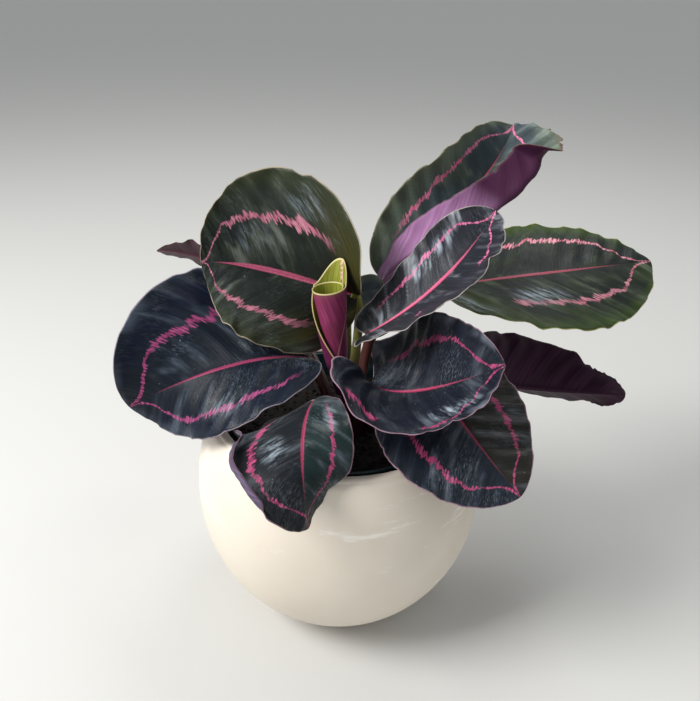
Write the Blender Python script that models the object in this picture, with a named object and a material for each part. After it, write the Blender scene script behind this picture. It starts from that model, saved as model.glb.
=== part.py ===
"""Potted calathea: leaf blades on stalks, a rolled new leaf, potting mix, a nursery pot and a round cover pot.

The origin is the centre of the cover pot's flat underside, +Z is up and -Y is the side that is looked at.
Lengths below are in millimetres and angles in degrees, and solids are written in metres.
"""

import bpy
import numpy as np

MM = 0.001

# Cover pot: a ball that is cut flat below and open above.
POT_RADIUS = 78.0
POT_EQUATOR = 76.0
POT_LOWER_SEMI_AXIS = 85.0
POT_UPPER_SEMI_AXIS = 98.0
POT_HEIGHT = 123.0
POT_WALL = 5.0
POT_FLOOR = 12.0

# Nursery pot, which stands on the floor of the cover pot.
NURSERY_RIM_RADIUS = 61.0
NURSERY_BASE_RADIUS = 41.0
NURSERY_TOP = 122.0
NURSERY_RIM_DEPTH = 9.0
NURSERY_WALL = 1.4

# Potting mix, nearly flat around the crown.
SOIL_CROWN = 110.0
SOIL_EDGE = 107.0
SOIL_CROWN_RADIUS = 24.0

GAP = 0.3
BLADE_THICKNESS = 0.8
ROUND_STEPS = 36

# Each leaf blade runs from base to tip over a bent midrib. "face" is where its upper side looks, at base and tip.
# Pairs are for the left and the right half, seen from above with the tip ahead.
LEAVES = {
    "back_left": dict(base=(7, 15, 179), mid=(-43, 24, 189), tip=(-75, 23, 192),
                      face=((-0.98, 0.05, 0.15), (-0.07, -0.58, 0.81)), half=(45, 54), rounding=(0.47, 0.47),
                      point=(0.58, 0.58), cup=(14, 24), curl=(-6, 27), lobe=(6, 10),
                      sway=(4, 9), foot=(2, 7.5), stalk=2.8),
    "left": dict(base=(-16, -2, 151), mid=(-56, -15, 152), tip=(-109, -16, 127),
                 face=((-0.16, -0.09, 0.98), (0.74, -0.51, 0.44)), half=(37, 58), rounding=(0.60, 0.60),
                 point=(0.62, 0.62), cup=(2, 11), curl=(7, 0), lobe=(4, 1),
                 foot=(-5, -2), stalk=2.2),
    "front_left": dict(base=(-13, -32, 144), mid=(-16, -68, 142), tip=(-12, -90, 114),
                       face=((-0.32, 0.15, 0.94), (0.43, 0.26, 0.87)), half=(23, 37), rounding=(0.62, 0.68),
                       point=(0.56, 0.56), cup=(9, -4), curl=(0, -30), lobe=(3, 8),
                       fold=(0.74, 0.80, 150, 0.35, 0.80), foot=(-2, -7.5), stalk=2.0),
    "centre_right": dict(base=(15, -17, 145), mid=(37, -30, 149), tip=(73, -51, 176),
                         face=((0.68, -0.18, 0.68), (-0.27, -0.70, 0.67)), half=(41, 44), rounding=(0.30, 0.40),
                         point=(0.40, 0.40), cup=(12, 26), curl=(8, 28), lobe=(22, 15),
                         foot=(9, -10.5), stalk=2.2, lift=0.8),
    "front_right": dict(base=(45, -9, 148), mid=(58, -45, 141), tip=(82, -75, 122),
                        face=((-0.09, -0.44, 0.89), (0.41, -0.75, 0.46)), half=(33, 41), rounding=(0.40, 0.55),
                        point=(0.59, 0.59), cup=(6, -7), curl=(1, 4), lobe=(6, 0),
                        sway=(0, -4), foot=(15, -5), stalk=2.0),
    "middle": dict(base=(12, -3, 166), mid=(46, -5, 195), tip=(70, -4, 232),
                   face=((-0.34, -0.23, 0.91), (-0.01, -0.55, 0.83)), half=(24, 29), rounding=(0.51, 0.37),
                   point=(0.45, 0.45), cup=(10, 21), curl=(5, 22), lobe=(11, 9),
                   foot=(8.5, -3.5), stalk=3.0),
    "back_right": dict(base=(22, 35, 178), mid=(63, 32, 228), tip=(82, 38, 263),
                       face=((0.14, -0.01, 0.91), (-0.55, -0.60, -0.50)), half=(32, 46), rounding=(0.34, 0.45),
                       point=(0.46, 0.20), cup=(38, 44), curl=(39, -57), lobe=(5, 5),
                       fold=(0.35, 0.62, 165, -1.0, 0.82), sway=(2, 8), foot=(7.5, 10.5), stalk=2.0),
    "right": dict(base=(56, 42, 175), mid=(106, 47, 181), tip=(184, 84, 177),
                  face=((0.01, 0.07, 0.99), (0.09, -0.59, 0.80)), half=(49, 52), rounding=(0.52, 0.52),
                  point=(0.67, 0.67), cup=(-1, 7), curl=(-6, -6), lobe=(1, 2),
                  foot=(12.5, 7), stalk=2.0),
    "low_right": dict(base=(63, 1, 141), mid=(103, 30, 118), tip=(163, 28, 116),
                      face=((-0.30, 0.86, 0.43), (-0.89, 0.38, -0.25)), half=(31, 32), rounding=(0.44, 0.44),
                      point=(0.44, 0.44), cup=(63, 28), curl=(2, 26), lobe=(0, 5),
                      sway=(0, 9), foot=(15.5, 1), stalk=2.0),
    "far_left": dict(base=(-45, 80, 157), mid=(-87, 91, 169), tip=(-115, 86, 175),
                     face=((-0.10, 0.75, 0.65), (0.10, 0.80, 0.60)), half=(18, 17), rounding=(0.51, 0.51),
                     point=(0.67, 0.67), cup=(0, 11), curl=(-6, 7), lobe=(0, 0),
                     sway=(-6, 16), foot=(-4, 5), stalk=2.0),
    "small": dict(base=(3, 32, 171), mid=(12, 29, 176), tip=(21, 26, 179),
                  face=((-0.02, -0.72, 0.69), (0.16, -0.74, 0.66)), half=(9, 11), rounding=(0.50, 0.50),
                  point=(0.41, 0.41), cup=(4, 3), curl=(-2, -2), lobe=(3, 0),
                  sway=(0, 4), foot=(4.5, 14.5), stalk=1.8),
}

# Rolled new leaf: a sheet wound into a cone on its own short stalk.
ROLL_FOOT = (1.5, 0.0)
ROLL_BOTTOM = (0.5, 0.0, 130.0)
ROLL_TOP = (-7.5, 0.0, 189.5)
ROLL_BOTTOM_RADIUS = 2.7
ROLL_TOP_RADIUS = 8.6
ROLL_START = -15.0
ROLL_TURN = 515.0
ROLL_PITCH = 1.3


def clear_scene():
    for thing in list(bpy.data.objects):
        bpy.data.objects.remove(thing, do_unlink=True)


def plain_material(name, colour, roughness):
    material = bpy.data.materials.new(name)
    material.use_nodes = True
    shader = material.node_tree.nodes["Principled BSDF"]
    shader.inputs["Base Color"].default_value = (*colour, 1.0)
    shader.inputs["Roughness"].default_value = roughness
    return material


def add_solid(name, points, faces, colour, roughness):
    mesh = bpy.data.meshes.new(name)
    mesh.from_pydata([tuple(p) for p in np.asarray(points) * MM], [], faces)
    mesh.validate()
    mesh.update()
    solid = bpy.data.objects.new(name, mesh)
    solid.data.materials.append(plain_material(name + "_material", colour, roughness))
    bpy.context.scene.collection.objects.link(solid)
    return solid


def unit(vectors):
    return vectors / np.linalg.norm(vectors, axis=-1, keepdims=True)


def smooth(x):
    x = np.clip(x, 0.0, 1.0)
    return x * x * (3.0 - 2.0 * x)


def bump(s, rise, fall):
    """A hump over 0..1 with peak height 1, steep at both ends."""
    peak = rise / (rise + fall)
    return s**rise * (1.0 - s) ** fall / (peak**rise * (1.0 - peak) ** fall)


def midrib(leaf, s):
    base, mid, tip = (np.array(leaf[key], float) for key in ("base", "mid", "tip"))
    control = 2.0 * mid - (base + tip) / 2.0
    s = np.asarray(s, float)[..., None]
    point = (1 - s) ** 2 * base + 2 * s * (1 - s) * control + s**2 * tip
    along = unit(2 * (1 - s) * (control - base) + 2 * s * (tip - control))
    return point, along


def facing(leaf, s, along):
    start, end = (unit(np.array(face, float)) for face in leaf["face"])
    s = np.asarray(s, float)[..., None]
    face = unit(start * (1 - s) + end * s)
    return unit(face - (face * along).sum(-1, keepdims=True) * along)


def blade_surface(leaf, s, v):
    """Middle surface of a blade: s runs from base to tip, v from the left margin (-1) to the right one (1)."""
    s, v = np.broadcast_arrays(np.asarray(s, float), np.asarray(v, float))
    point, along = midrib(leaf, s)
    up = facing(leaf, s, along)
    side = np.cross(along, up)
    right = v > 0
    across = np.abs(v)
    half, cup, curl, lobe = (np.where(right, leaf[key][1], leaf[key][0]) for key in ("half", "cup", "curl", "lobe"))
    width_left = bump(s, leaf["rounding"][0], leaf["point"][0])
    width_right = bump(s, leaf["rounding"][1], leaf["point"][1])
    width = half * np.where(right, width_right, width_left)
    fractions = (np.arange(40) + 0.5) / 40
    walked = across[..., None] * fractions
    slope = np.radians(cup)[..., None] + np.radians(curl)[..., None] * walked
    if "fold" in leaf:
        start, end, angle, first, last = leaf["fold"]
        where = (start + (end - start) * s)[..., None]
        active = smooth((s - first) / 0.1) * (1.0 - smooth((s - last) / 0.1))
        amount = (np.where(right, 1.0, 0.0) * active)[..., None]
        slope = slope + amount * np.radians(angle) * smooth((walked - where) / 0.16)
    out = across * np.cos(slope).mean(-1)
    lift = across * np.sin(slope).mean(-1)
    back = -lobe * across**2 * bump(s, 0.5, 4.0)
    point = point + side * (np.sign(v) * width * out)[..., None]
    return point + up * (width * lift)[..., None] + along * back[..., None]


def grid_normals(grid):
    down = np.gradient(grid, axis=0)
    over = np.gradient(grid, axis=1)
    return unit(np.cross(over, down))


def sheet_solid(grid, thickness):
    """A closed plate of even thickness over a grid of points."""
    rows, columns = grid.shape[:2]
    offset = grid_normals(grid) * thickness / 2.0
    points = np.concatenate([(grid + offset).reshape(-1, 3), (grid - offset).reshape(-1, 3)])
    lower = rows * columns
    faces = []
    for i in range(rows - 1):
        for j in range(columns - 1):
            a, b = i * columns + j, i * columns + j + 1
            c, d = a + columns, b + columns
            faces.append((a, b, d, c))
            faces.append((lower + a, lower + c, lower + d, lower + b))
    loop = [j for j in range(columns)]
    loop += [i * columns + columns - 1 for i in range(1, rows)]
    loop += [(rows - 1) * columns + j for j in range(columns - 2, -1, -1)]
    loop += [i * columns for i in range(rows - 2, 0, -1)]
    for a, b in zip(loop, loop[1:] + loop[:1]):
        faces.append((b, a, lower + a, lower + b))
    return points, faces


def blade_solid(leaf):
    s = 0.5 - 0.5 * np.cos(np.pi * np.linspace(0.07, 0.955, 12))
    v = np.linspace(-1, 1, 9)
    if "fold" in leaf:
        s = 0.5 - 0.5 * np.cos(np.pi * np.linspace(0.07, 0.955, 16))
        v = np.concatenate([np.linspace(-1, 0, 5), np.linspace(0.12, 1, 12)])
    grid = blade_surface(leaf, s[:, None], v[None, :])
    return sheet_solid(grid, BLADE_THICKNESS)


def tube_solid(path, radii, sides=8):
    """A closed tube over a path of points, with flat ends square to the path."""
    path = np.asarray(path, float)
    along = unit(np.gradient(path, axis=0))
    start = np.array([1.0, 0.0, 0.0])
    points = []
    for centre, direction, radius in zip(path, along, radii):
        first = unit(start - direction * (start @ direction))
        second = np.cross(direction, first)
        for k in range(sides):
            angle = 2 * np.pi * k / sides
            points.append(centre + radius * (np.cos(angle) * first + np.sin(angle) * second))
        start = first
    faces = [tuple(range(sides - 1, -1, -1))]
    for ring in range(len(path) - 1):
        for k in range(sides):
            a, b = ring * sides + k, ring * sides + (k + 1) % sides
            faces.append((a, b, b + sides, a + sides))
    top = (len(path) - 1) * sides
    faces.append(tuple(top + k for k in range(sides)))
    return points, faces


def bezier(p0, p1, p2, p3, count):
    t = np.linspace(0, 1, count)[:, None]
    return (1 - t) ** 3 * p0 + 3 * t * (1 - t) ** 2 * p1 + 3 * t**2 * (1 - t) * p2 + t**3 * p3


def stalk_path(leaf, count=9):
    """From the potting mix up to just under the base of the blade's midrib."""
    point, along = midrib(leaf, np.array([0.03]))
    up = facing(leaf, np.array([0.03]), along)[0]
    along = along[0]
    arrive = unit(0.8 * along + 0.6 * up)
    droop = max(0.0, -min(leaf["cup"])) + 3.0
    reach = BLADE_THICKNESS / 2 + GAP + 0.28 + 0.8 * leaf["stalk"] * (0.8 + np.sin(np.radians(droop)))
    end = point[0] - up * (reach - leaf.get("lift", 0.0))
    foot = np.array([*leaf["foot"], SOIL_CROWN + GAP])
    rise = np.linalg.norm(end - foot)
    sway = leaf.get("sway", (0.0, 0.0))
    start = foot + np.array([0.0, 0.0, 2.0])
    first = start + np.array([sway[0], sway[1], 0.35 * rise])
    before = end - arrive * 0.14 * rise
    return np.concatenate([foot[None], bezier(start, first, before, end, count)])


def lathe_solid(profile, steps=ROUND_STEPS):
    """Turns a profile of (radius, height) points, from the axis round to the axis, about +Z."""
    points = []
    rings = []
    for radius, height in profile:
        if radius < 1e-6:
            rings.append([len(points)])
            points.append((0.0, 0.0, height))
            continue
        rings.append([len(points) + k for k in range(steps)])
        for k in range(steps):
            angle = 2 * np.pi * k / steps
            points.append((radius * np.cos(angle), radius * np.sin(angle), height))
    faces = []
    for lower, upper in zip(rings, rings[1:]):
        for k in range(steps):
            n = (k + 1) % steps
            if len(lower) == 1:
                faces.append((lower[0], upper[n], upper[k]))
            elif len(upper) == 1:
                faces.append((lower[k], lower[n], upper[0]))
            else:
                faces.append((lower[k], lower[n], upper[n], upper[k]))
    return points, faces


def pot_radius(height):
    below = height < POT_EQUATOR
    semi = POT_LOWER_SEMI_AXIS if below else POT_UPPER_SEMI_AXIS
    return POT_RADIUS * np.sqrt(1.0 - ((height - POT_EQUATOR) / semi) ** 2)


def cover_pot():
    profile = [(0.0, 0.0), (pot_radius(0.0) - 1.5, 0.0)]
    profile += [(pot_radius(z), z) for z in (1.5, 8, 20, 34, 50, 66, 82, 98, 112, POT_HEIGHT - 1.8)]
    profile += [(pot_radius(POT_HEIGHT) - 0.9, POT_HEIGHT - 0.4), (pot_radius(POT_HEIGHT) - POT_WALL / 2, POT_HEIGHT)]
    profile += [(pot_radius(POT_HEIGHT) - POT_WALL + 0.9, POT_HEIGHT - 0.4)]
    profile += [(pot_radius(z) - POT_WALL, z) for z in (POT_HEIGHT - 1.8, 108, 92, 76, 58, 42, 28, 17)]
    profile += [(pot_radius(POT_FLOOR) - POT_WALL - 4, POT_FLOOR), (0.0, POT_FLOOR)]
    add_solid("cover_pot", *lathe_solid(profile), (0.80, 0.74, 0.66), 0.45)


def nursery_radius(height):
    base = POT_FLOOR + GAP
    top = NURSERY_TOP - NURSERY_RIM_DEPTH
    share = (height - base) / (top - base)
    return NURSERY_BASE_RADIUS + share * (NURSERY_RIM_RADIUS - 2.2 - NURSERY_BASE_RADIUS)


def nursery_pot():
    base = POT_FLOOR + GAP
    under = NURSERY_TOP - NURSERY_RIM_DEPTH
    profile = [(0.0, base), (NURSERY_BASE_RADIUS, base), (nursery_radius(under), under)]
    profile += [(NURSERY_RIM_RADIUS - 0.6, under + 0.6), (NURSERY_RIM_RADIUS, NURSERY_TOP - 1.0)]
    profile += [(NURSERY_RIM_RADIUS - 0.5, NURSERY_TOP), (NURSERY_RIM_RADIUS - 1.6, NURSERY_TOP)]
    profile += [(NURSERY_RIM_RADIUS - 2.0, NURSERY_TOP - 1.2), (NURSERY_RIM_RADIUS - 2.4, under + 1.4)]
    profile += [(nursery_radius(under) - NURSERY_WALL, under), (nursery_radius(base) - NURSERY_WALL, base + NURSERY_WALL)]
    profile += [(0.0, base + NURSERY_WALL)]
    add_solid("nursery_pot", *lathe_solid(profile), (0.02, 0.05, 0.04), 0.4)


def potting_mix():
    base = POT_FLOOR + GAP + NURSERY_WALL + GAP
    inside = NURSERY_WALL + GAP + 0.25
    profile = [(0.0, base), (nursery_radius(base) - inside, base)]
    profile += [(nursery_radius(SOIL_EDGE) - inside, SOIL_EDGE), (SOIL_CROWN_RADIUS, SOIL_CROWN), (0.0, SOIL_CROWN)]
    add_solid("potting_mix", *lathe_solid(profile), (0.02, 0.015, 0.012), 0.95)


def leaf(name, shape):
    add_solid(name + "_leaf", *blade_solid(shape), (0.03, 0.05, 0.05), 0.35)
    path = stalk_path(shape)
    radii = np.linspace(shape["stalk"], shape["stalk"] * 0.8, len(path))
    add_solid(name + "_stalk", *tube_solid(path, radii), (0.10, 0.03, 0.03), 0.5)


def rolled_sheet(rows=10, columns=38):
    """The young leaf: one sheet rolled into a trumpet, its outer wrap rising to a flap at the back right."""
    bottom = np.array(ROLL_BOTTOM)
    top = np.array(ROLL_TOP)
    axis = unit(top - bottom)
    right = unit(np.cross(np.array([0.0, 1.0, 0.0]), axis))
    back = np.cross(axis, right)
    h, turn = np.meshgrid(np.linspace(0, 1, rows), np.linspace(0, 1, columns), indexing="ij")
    angle = ROLL_START + (ROLL_TURN + 205.0 * (1 - h)) * turn
    flap = smooth((angle - 350.0) / 55.0) * smooth((500.0 - angle) / 90.0)
    free_edge = smooth((angle - 455.0) / 80.0) * smooth(h / 0.4)
    radius = ROLL_BOTTOM_RADIUS + (ROLL_TOP_RADIUS - ROLL_BOTTOM_RADIUS) * h
    radius = radius + ROLL_PITCH * (angle - 345.0) / 360.0 + 2.6 * flap * h**5 + 1.2 * free_edge
    centre = bottom + (top - bottom) * h[..., None] + axis * (11.5 * flap * h**4)[..., None]
    angle = np.radians(angle)
    return centre + (right * np.cos(angle)[..., None] + back * np.sin(angle)[..., None]) * radius[..., None]


def rolled_leaf():
    add_solid("rolled_leaf", *sheet_solid(rolled_sheet(), BLADE_THICKNESS), (0.35, 0.06, 0.16), 0.4)
    foot = np.array([*ROLL_FOOT, SOIL_CROWN + GAP])
    end = np.array(ROLL_BOTTOM) - np.array([0.0, 0.0, GAP + 0.75])
    start = foot + np.array([0.0, 0.0, 2.0])
    path = np.concatenate([foot[None], start + (end - start) * np.linspace(0, 1, 4)[:, None]])
    add_solid("rolled_leaf_stalk", *tube_solid(path, np.linspace(2.6, 2.2, 5)), (0.30, 0.05, 0.12), 0.45)


def main():
    clear_scene()
    cover_pot()
    nursery_pot()
    potting_mix()
    for name, shape in LEAVES.items():
        leaf(name, shape)
    rolled_leaf()


main()
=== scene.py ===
"""Potted calathea: the looks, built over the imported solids.

Lengths in the tables are in millimetres and angles in degrees. The front of the plant looks along -Y.
"""

import math
import random
from types import SimpleNamespace

import bpy
import numpy as np
from mathutils import Matrix, Vector


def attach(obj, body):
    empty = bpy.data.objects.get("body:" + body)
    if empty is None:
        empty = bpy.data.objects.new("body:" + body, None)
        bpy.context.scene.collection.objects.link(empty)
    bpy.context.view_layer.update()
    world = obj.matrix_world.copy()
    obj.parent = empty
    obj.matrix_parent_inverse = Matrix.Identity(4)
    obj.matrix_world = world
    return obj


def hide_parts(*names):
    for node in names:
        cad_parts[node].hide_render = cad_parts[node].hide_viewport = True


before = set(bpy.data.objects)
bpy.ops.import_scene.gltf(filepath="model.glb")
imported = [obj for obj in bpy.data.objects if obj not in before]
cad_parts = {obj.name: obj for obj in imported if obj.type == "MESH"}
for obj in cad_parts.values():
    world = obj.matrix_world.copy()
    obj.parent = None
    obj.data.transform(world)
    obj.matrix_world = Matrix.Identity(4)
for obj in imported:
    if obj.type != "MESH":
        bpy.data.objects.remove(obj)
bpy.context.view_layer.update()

MM = 0.001
BODY = "root"

# The leaf blades. Each runs from base to tip over a bent midrib, and face is where its upper side looks,
# at base and tip. Pairs are for the left and the right half, seen from above with the tip ahead.
# Shape: half is each half's greatest width, rounding and point how blunt its base and its tip are, cup
# and curl how far it rises at the midrib and then bends, and lobe how far it reaches back past the stalk.
# fold is (place at base, place at tip, angle, first and last run) of a right half that is turned under.
# torn lists (half, start, end, depth). scallop and pleat scale the margin's dips and the folds.
# Stalk: foot is where it leaves the mix, sway its lean there, and stalk its radius.
# Paint: look, stem and under name colours, ring is the pink ring's place as a share of the half width
# (past 1 it is off the blade), gaps lists (half, start, end) without it, and rib is the stripe's half
# width. tint is a colour for each half. painted_sheen, crest and painted_tip_sheen are strengths of painted
# highlight along the veins, on the crests of the folds and near the tip, and painted_highlights lists
# (half, run, share, strength) of painted highlight patches. dry_tip is the run past which the right half
# withers. Half 1 is the right one.
LEAVES = {
    "back_left": dict(
        base=(7, 15, 179), mid=(-43, 24, 189), tip=(-75, 23, 192),
        face=((-0.98, 0.05, 0.15), (-0.07, -0.58, 0.81)), half=(45, 54),
        rounding=(0.47, 0.47), point=(0.58, 0.58), cup=(14, 24), curl=(-6, 27), lobe=(6, 10),
        scallop=1.7,
        sway=(4, 9), foot=(2, 7.5), stalk=2.8,
        look="green", stem="green", under="dusty", ring=(0.60, 0.52), rib=1.6,
        painted_highlights=((1, 0.35, 0.75, 0.35), (1, 0.60, 0.30, 0.2)),
    ),
    "left": dict(
        base=(-16, -2, 151), mid=(-56, -15, 152), tip=(-109, -16, 127),
        face=((-0.16, -0.09, 0.98), (0.74, -0.51, 0.44)), half=(37, 58),
        rounding=(0.60, 0.60), point=(0.62, 0.62), cup=(2, 11), curl=(7, 0), lobe=(4, 1),
        scallop=0.7,
        foot=(-5, -2), stalk=2.2,
        look="navy", stem="red", ring=(0.64, 0.50), rib=0.85,
        painted_tip_sheen=0.35,
        painted_highlights=((1, 0.30, 0.25, 0.6), (0, 0.55, 0.60, 0.4)),
    ),
    "front_left": dict(
        base=(-13, -32, 144), mid=(-16, -68, 142), tip=(-12, -90, 114),
        face=((-0.32, 0.15, 0.94), (0.43, 0.26, 0.87)), half=(23, 37),
        rounding=(0.62, 0.68), point=(0.56, 0.56), cup=(9, -4), curl=(0, -30), lobe=(3, 8),
        fold=(0.74, 0.80, 150, 0.35, 0.80), torn=((0, 0.9, 1.05, 0.2),),
        foot=(-2, -7.5), stalk=2.0,
        look="coal", stem="red", under="lavender", ring=(0.60, 0.62), rib=0.75,
        tint=("#17332d", "#15181c"),
        painted_sheen=1.0,
        painted_highlights=((1, 0.55, 0.35, 0.75), (0, 0.30, 0.60, 0.5)),
    ),
    "centre_right": dict(
        base=(15, -17, 145), mid=(37, -30, 149), tip=(73, -51, 176),
        face=((0.68, -0.18, 0.68), (-0.27, -0.70, 0.67)), half=(41, 44),
        rounding=(0.30, 0.40), point=(0.40, 0.40), cup=(12, 26), curl=(8, 28), lobe=(22, 15),
        torn=((1, 0.72, 1.0, 0.10), (0, 0.85, 1.0, 0.08)),
        foot=(9, -10.5), stalk=2.2,
        look="coal", stem="red", ring=(0.62, 0.84), rib=1.0,
        gaps=((1, 0.0, 0.30), (1, 0.52, 0.70)), tint=("#1c2132", "#1b2030"),
        painted_tip_sheen=0.8,
        painted_highlights=((1, 0.80, 0.55, 0.8), (0, 0.35, 0.40, 0.5)),
    ),
    "front_right": dict(
        base=(45, -9, 148), mid=(58, -45, 141), tip=(82, -75, 122),
        face=((-0.09, -0.44, 0.89), (0.41, -0.75, 0.46)), half=(33, 41),
        rounding=(0.40, 0.55), point=(0.59, 0.59), cup=(6, -7), curl=(1, 4), lobe=(6, 0),
        torn=((1, 0.4, 0.9, 0.04),),
        sway=(0, -4), foot=(15, -5), stalk=2.0,
        look="coal", stem="red", ring=(0.62, 0.60), rib=0.6,
        tint=("#302b1c", "#1b2533"),
    ),
    "middle": dict(
        base=(12, -3, 166), mid=(46, -5, 195), tip=(70, -4, 232),
        face=((-0.34, -0.23, 0.91), (-0.01, -0.55, 0.83)), half=(24, 29),
        rounding=(0.51, 0.37), point=(0.45, 0.45), cup=(10, 21), curl=(5, 22), lobe=(11, 9),
        foot=(8.5, -3.5), stalk=3.0,
        look="slate", stem="red", ring=(0.64, 0.60),
        gaps=((1, 0.22, 0.34), (1, 0.40, 0.74)),
        crest=(0.55, 0.15),
        painted_highlights=((0, 0.50, 0.55, 1.0), (0, 0.68, 0.60, 0.9)),
    ),
    "back_right": dict(
        base=(22, 35, 178), mid=(63, 32, 228), tip=(82, 38, 263),
        face=((0.14, -0.01, 0.91), (-0.55, -0.60, -0.50)), half=(32, 46),
        rounding=(0.34, 0.45), point=(0.46, 0.20), cup=(38, 44), curl=(39, -57), lobe=(5, 5),
        fold=(0.35, 0.62, 165, -1.0, 0.82), torn=((1, 0.86, 1.05, 0.20), (0, 0.86, 1.05, 0.12)),
        sway=(2, 8), foot=(7.5, 10.5), stalk=2.0,
        look="sage", stem="green", under="mauve", ring=(0.58, 0.60),
        dry_tip=0.78,
    ),
    "right": dict(
        base=(56, 42, 175), mid=(106, 47, 181), tip=(184, 84, 177),
        face=((0.01, 0.07, 0.99), (0.09, -0.59, 0.80)), half=(49, 52),
        rounding=(0.52, 0.52), point=(0.67, 0.67), cup=(-1, 7), curl=(-6, -6), lobe=(1, 2),
        scallop=0.6,
        foot=(12.5, 7), stalk=2.0,
        look="olive", stem="green", ring=(0.62, 0.55),
        gaps=((1, 0.16, 0.30),),
        painted_highlights=((1, 0.45, 0.42, 1.0), (1, 0.12, 0.85, 0.9), (0, 0.30, 0.75, 0.4)),
    ),
    "low_right": dict(
        base=(63, 1, 141), mid=(103, 30, 118), tip=(163, 28, 116),
        face=((-0.30, 0.86, 0.43), (-0.89, 0.38, -0.25)), half=(31, 32),
        rounding=(0.44, 0.44), point=(0.44, 0.44), cup=(63, 28), curl=(2, 26), lobe=(0, 5),
        torn=((0, 0.82, 1.05, 0.25), (1, 0.80, 1.05, 0.3)),
        sway=(0, 9), foot=(15.5, 1), stalk=2.0,
        look="coal", stem="red", under="near_black", ring=(0.60, 0.60),
    ),
    "far_left": dict(
        base=(-45, 80, 157), mid=(-87, 91, 169), tip=(-115, 86, 175),
        face=((-0.10, 0.75, 0.65), (0.10, 0.80, 0.60)), half=(18, 17),
        rounding=(0.51, 0.51), point=(0.67, 0.67), cup=(0, 11), curl=(-6, 7), lobe=(0, 0),
        scallop=0.4, pleat=0.3,
        sway=(-6, 16), foot=(-4, 5), stalk=2.0,
        look="green", stem="red", under="dusty", ring=(0.60, 0.60),
    ),
    "small": dict(
        base=(3, 32, 171), mid=(12, 29, 176), tip=(21, 26, 179),
        face=((-0.02, -0.72, 0.69), (0.16, -0.74, 0.66)), half=(9, 11),
        rounding=(0.50, 0.50), point=(0.41, 0.41), cup=(4, 3), curl=(-2, -2), lobe=(3, 0),
        torn=((1, 0.2, 0.9, 0.10),),
        sway=(0, 4), foot=(4.5, 14.5), stalk=1.8,
        look="sage", stem="green", ring=(1.40, 1.40), rib=0.0,
    ),
}

ROWS = 96
HALF_COLUMNS = 34
BLADE_THICKNESS = 0.55
STALK_START = 110.0

VEIN_LEAN = 0.55
VEIN_BEND = 0.006
HALF_SHIFT = 37.0
MARGIN_SHIFT = 50.0
FLECK_WIDTH = 0.8
RING_HALF_SHARE = 0.038
STRIPE_HALF = 1.1

ROLL_BOTTOM = (0.5, 0.0, 130.0)
ROLL_TOP = (-7.5, 0.0, 189.5)
ROLL_START = -15.0
ROLL_TURN = 515.0
ROLL_EXTRA_BELOW = 205.0
ROLL_LOW_RADIUS = 2.7
ROLL_WIDENING = 5.9
ROLL_PITCH = 1.3
FRONT_EDGE_TOP = 390.0
FRONT_EDGE_BELOW = 201.0

# The outside of the cover pot is two half ellipses that meet at its equator.
POT_RADIUS = 78.0
POT_EQUATOR = 76.0
POT_LOWER = 85.0
POT_UPPER = 98.0
POT_HEIGHT = 123.0
POT_WALL = 5.0
POT_FLOOR = 12.0
NURSERY_RIM = 61.0
NURSERY_BASE = 41.0
NURSERY_TOP = 122.0
SOIL_HEIGHT = 108.5
SOIL_RADIUS = 57.0
SOIL_BOTTOM_RADIUS = 50.0
SOIL_DEPTH = 35.0
SOIL_RINGS = 40
SOIL_STEPS = 120

CAMERA_PLACE = (0.0040, -0.3395, 0.3314)
CAMERA_PITCH = 27.5
CAMERA_ROLL = -1.5
CAMERA_LENS = 38.06
LAMP_TARGET = (0.0, 0.0, 0.15)
LAMPS = (
    ("window", (-0.85, -0.35, 0.95), 0.55, 19.0),
    ("top", (0.35, 0.5, 1.2), 0.6, 5.0),
)
FLOOR_HALF = 60.0


# ---------------------------------------------------------------- colour and nodes


# Short names for the nodes used most, with their usual settings. "fade" runs smoothly from one number to
# another while its input goes from low to high.
KINDS = {
    "times": ("ShaderNodeMath", {"operation": "MULTIPLY"}),
    "plus": ("ShaderNodeMath", {"operation": "ADD"}),
    "minus": ("ShaderNodeMath", {"operation": "SUBTRACT"}),
    "over": ("ShaderNodeMath", {"operation": "DIVIDE"}),
    "larger": ("ShaderNodeMath", {"operation": "MAXIMUM"}),
    "size": ("ShaderNodeMath", {"operation": "ABSOLUTE"}),
    "floor": ("ShaderNodeMath", {"operation": "FLOOR"}),
    "length": ("ShaderNodeVectorMath", {"operation": "LENGTH"}),
    "fade": ("ShaderNodeMapRange", {"interpolation_type": "SMOOTHSTEP"}),
    "blend": ("ShaderNodeMix", {"data_type": "RGBA"}),
    "noise": ("ShaderNodeTexNoise", {}),
    "chance": ("ShaderNodeTexWhiteNoise", {"noise_dimensions": "1D"}),
    "point": ("ShaderNodeCombineXYZ", {}),
    "number": ("ShaderNodeAttribute", {}),
}


def linear(code):
    """An sRGB hex colour as linear RGBA."""
    channels = [int(code[i : i + 2], 16) / 255 for i in (1, 3, 5)]
    return [c / 12.92 if c <= 0.04045 else ((c + 0.055) / 1.055) ** 2.4 for c in channels] + [1.0]


def plug(tree, socket, value):
    """Sets an input, or links it to an output, or to the first output in use of a node."""
    if isinstance(value, bpy.types.Node):
        value = next(output for output in value.outputs if output.enabled)
    if isinstance(value, bpy.types.NodeSocket):
        tree.links.new(value, socket)
    else:
        socket.default_value = value


def add(tree, kind, *values, named=None, **settings):
    """Adds a node with its settings and links. Values fill the inputs in use in order, named ones follow."""
    kind, usual = KINDS.get(kind, (kind, {}))
    node = tree.nodes.new(kind)
    for name, value in {**usual, **settings}.items():
        setattr(node, name, value)
    for socket, value in zip([socket for socket in node.inputs if socket.enabled], values):
        plug(tree, socket, value)
    for name, value in (named or {}).items():
        plug(tree, node.inputs[name], value)
    return node


def new_material(name):
    material = bpy.data.materials.new(name)
    material.use_nodes = True
    return material, material.node_tree, material.node_tree.nodes["Principled BSDF"]


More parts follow.
